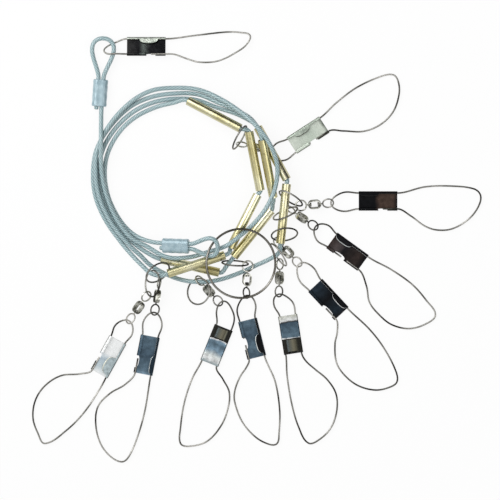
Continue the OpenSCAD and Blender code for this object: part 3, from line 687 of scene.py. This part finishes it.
def clasp_grid(k, rows=140):
    """The folded sheet as its middle surface: a section carried along x.

    The section starts at the leaf's edge, goes round the closed fold, along the
    back and round the catch to its lip. The leaf's reach is half a superellipse
    of x, and the notch draws the back's edge in by another. The recess sinks
    the back by its depth times a smooth step at each of its sides. Also gives
    the UV across, and the cells that the notch leaves open.
    """
    leaf_from, leaf_to, reach_share, notch_from, notch_to, notch_share = leaf_shares[k - 1]
    r = (clasp_t - sheet_t) / 2
    catch_cells, lip_cells = 11, 3
    x = np.linspace(0, 1, rows)[:, None]

    def inside(low, high, power):
        """One in the middle of low to high, falling to zero at both along a superellipse."""
        off = np.abs((x - (low + high) / 2) / ((high - low) / 2))
        return np.clip(1 - off ** power, 0, 1) ** (1 / 2.2)

    def from_zero(cells):
        """Equal steps up to one, without the zero that they start from."""
        return np.linspace(0, 1, cells + 1)[None, 1:]

    reach = 0.5 * mm + (reach_share * clasp_w - clasp_t / 2) * inside(leaf_from, leaf_to, 3.0)
    shut = np.clip((notch_from - x) / 0.02, 0, 1) if notch_share else np.ones((rows, 1))
    turn = np.radians(112 + 68 * shut)
    lip = 1.0 * mm * shut
    over = clasp_e - reach * (1 - np.array([0, 0.06, 0.14, 0.3, 0.5, 0.7, 0.85, 1])[None])
    fold = np.pi / 2 - np.pi * from_zero(11)
    back = clasp_e * (1 - 2 * from_zero(25))
    catch = turn * from_zero(catch_cells)
    lips = lip * from_zero(lip_cells)
    low, high = recess_shares.get(k, (2, 3))
    sunk = np.clip(np.minimum(x - low, high - x) / 0.025, 0, 1)
    sunk = sunk * np.clip((0.66 - np.abs(back / clasp_e)) / 0.12, 0, 1)
    sunk = sunk * sunk * (3 - 2 * sunk)
    cut = notch_share * clasp_w * inside(notch_from, notch_to, 2.4)
    one = np.ones((rows, 1))
    y = np.hstack([over, one * (clasp_e + r * np.cos(fold)),
                   np.maximum(one * back, cut - clasp_e - 0.2 * mm),
                   -clasp_e - r * np.sin(catch), -clasp_e - r * np.sin(turn) + lips])
    z = np.hstack([one * r + 0 * over, one * r * np.sin(fold), -r + recess_depth * sunk,
                   -r * np.cos(catch), -r * np.cos(turn) + 0 * lips])
    grid = np.stack([x * clasp_l + 0 * y, y, z], axis=2)
    row = (np.arange(rows - 1)[:, None] + 0.5) / (rows - 1)
    column = np.arange(y.shape[1] - 1)[None]
    in_catch = column >= y.shape[1] - 1 - catch_cells - lip_cells
    open_cells = (row > notch_from) & (row < notch_to) & in_catch & (notch_share > 0)
    return grid, 0.5 + y / clasp_w, open_cells


def sheet_with_painted_reflection(name, stops, recess=None, streaky=0.8):
    """Bright plated sheet: painted reflections as tints along it, broken by darker streaks,
    painted shade on its rolled rims, and dimples that bend what it mirrors.

    In a recess the middle of the sheet is tan, and the border round it is darkened with painted
    shade.
    """
    finish, tree, shader = new_finish(name, stops[0][1], 0.8, 0.24, edge=0.6)
    along, across = on_uv(tree)
    wander = math_node(tree, "MULTIPLY_ADD", speckle(tree, 110), 0.16, -0.08)
    # The tints along the sheet are painted reflections, broken up by darker streaks.
    tint = colours_of(tree, math_node(tree, "ADD", along, wander), stops)
    streak = colours_of(tree, speckle(tree, 330, 5.0), greys([(0.32, 0.45), (0.68, 1.0)]))
    tint = mixed(tree, streaky, tint, streak, "MULTIPLY")
    rim = math_node(tree, "ABSOLUTE", math_node(tree, "SUBTRACT", across, 0.5))
    # Painted shade darkens the sheet's rolled rims.
    shade = colours_of(tree, rim, [(0.43, (1, 1, 1, 1)), (0.475, (0.22, 0.22, 0.2, 1))])
    tint = mixed(tree, 1.0, tint, shade, "MULTIPLY")
    if recess:
        middle = (recess[0] + recess[1]) / 2
        half = (recess[1] - recess[0]) / 2
        off = math_node(tree, "ABSOLUTE", math_node(tree, "SUBTRACT", along, middle))
        deep = math_node(tree, "MULTIPLY", math_node(tree, "LESS_THAN", off, half - 0.03),
                         math_node(tree, "LESS_THAN", rim, 0.27))
        # The border of the recess is darkened with painted shade; its middle takes tan tints.
        painted_recess_shade = math_node(tree, "LESS_THAN", off, half)
        tint = mixed(tree, painted_recess_shade, tint, tone(40, 40, 36))
        tans = [(0.25, tone(60, 60, 50)), (0.45, tone(120, 116, 98)), (0.75, tone(78, 88, 90))]
        tan = colours_of(tree, across, tans)
        tint = mixed(tree, deep, tint, tan)
    tree.links.new(tint, shader.inputs["Base Color"])
    rounded = math_node(tree, "GREATER_THAN", rim, 0.42)
    rounded = math_node(tree, "MULTIPLY", rounded, 0.35)
    smooth = math_node(tree, "MULTIPLY_ADD", speckle(tree, 420), 0.24, 0.16)
    tree.links.new(math_node(tree, "ADD", smooth, rounded), shader.inputs["Roughness"])
    bumped(tree, shader, speckle(tree, 170), 0.14 * mm)
    return finish


# Painted reflections: the tints along the sheet of each clasp, and of its leaf and
# the leaf's edge, stand in for what the plate mirrors, with painted highlights in the near-white
# stops
# Tones of the painted reflections, painted highlights and painted shade on the clasps.
black, painted_near_black, painted_dark_grey = tone(20, 21, 24), tone(30, 30, 33), tone(52, 52, 52)
steel_blue, slate, sky_blue = tone(104, 128, 144), tone(78, 98, 114), tone(140, 168, 188)
brown, umber = tone(82, 66, 58), tone(60, 50, 47)
pale, sage, cream = tone(226, 234, 222), tone(204, 216, 202), tone(222, 224, 210)
silver, bright = tone(236, 242, 240), tone(252, 254, 254)
plate_painted_reflections = {
    1: [(0.0, painted_dark_grey), (0.3, painted_near_black), (0.42, tone(96, 104, 100)), (0.6, painted_near_black), (1.0, black)],
    2: [(0.0, pale), (0.5, sage), (0.9, pale), (1.0, tone(120, 128, 118))],
    3: [(0.0, black), (0.42, black), (0.55, brown), (0.88, brown), (1.0, black)],
    4: [(0.0, umber), (0.25, tone(92, 84, 84)), (0.4, painted_near_black), (0.8, umber), (1.0, black)],
    5: [(0.0, tone(44, 58, 70)), (0.5, black), (0.8, tone(34, 46, 56)), (1.0, painted_near_black)],
    6: [(0.0, cream), (0.14, bright), (0.18, painted_dark_grey), (0.22, slate), (0.5, steel_blue),
        (0.55, steel_blue), (0.57, bright), (0.6, silver), (0.62, painted_dark_grey), (1.0, painted_dark_grey)],
    7: [(0.0, steel_blue), (0.4, slate), (0.7, steel_blue), (1.0, slate)],
    8: [(0.0, painted_dark_grey), (0.34, painted_dark_grey), (0.36, bright), (0.4, sky_blue), (0.5, steel_blue),
        (0.66, sky_blue), (0.8, silver), (0.9, bright), (1.0, tone(170, 186, 190))],
    9: [(0.0, steel_blue), (0.5, slate), (0.9, steel_blue), (1.0, sky_blue)],
    10: [(0.0, bright), (0.45, bright), (0.6, tone(190, 206, 216)), (0.85, tone(206, 220, 226)),
         (1.0, bright)]}
# Each leaf's painted reflection. Its edge carries a painted highlight where it is pale and painted
# shade where it is dark.
leaf_painted_reflections = [(pale, sage), (sage, umber), (black, painted_dark_grey), (painted_near_black, silver), (black, bright),
              (slate, silver), (black, silver), (slate, silver), (tone(40, 56, 68), silver),
              (tone(196, 212, 216), cream)]
leaf_edge_cells, leaf_cells = 2, 9
for k in range(1, 11):
    body, hinged = ("end_clasp", "end_bow") if k == 1 else ("clasp_%d" % k, "bow_%d" % k)
    at = snap_frame(k)
    neck_line = moved(at, curve(neck_knots(k), snap_step))
    bow_line = moved(at, curve(bow_knots(k), snap_step))
    neck = wire("neck_wire_%d" % k, neck_line, snap_wire / 2, nickel)
    bow = wire("bow_wire_%d" % k, bow_line, snap_wire / 2, nickel)
    grid, across, open_cells = clasp_grid(k)
    along = np.repeat(grid[:, :1, 0] / clasp_l, grid.shape[1], axis=1)
    streaky = 0.15 if k in (2, 10) else 0.8
    plate = sheet_with_painted_reflection("plate_%d" % k, plate_painted_reflections[k], recess_shares.get(k), streaky)
    clasp = surface("clasp_sheet_%d" % k, moved(at, grid), along, across, plate, around=False,
                    drop=open_cells)
    for part, colour in zip(("leaf_%d", "leaf_edge_%d"), leaf_painted_reflections[k - 1]):
        clasp.data.materials.append(sheet_with_painted_reflection(part % k, [(0.0, colour), (1.0, colour)]))
    column = np.arange(grid.shape[1] - 1)[None] + np.zeros((len(grid) - 1, 1), int)
    layer = np.where(column < leaf_edge_cells, 2, np.where(column < leaf_cells, 1, 0))[~open_cells]
    clasp.data.polygons.foreach_set("material_index", layer.ravel().astype(np.int32))
    thick = clasp.modifiers.new("sheet", "SOLIDIFY")
    thick.thickness = sheet_t
    thick.offset = 0
    for piece, rides in ((neck, body), (clasp, body), (bow, hinged)):
        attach(piece, rides)
        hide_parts(rides)
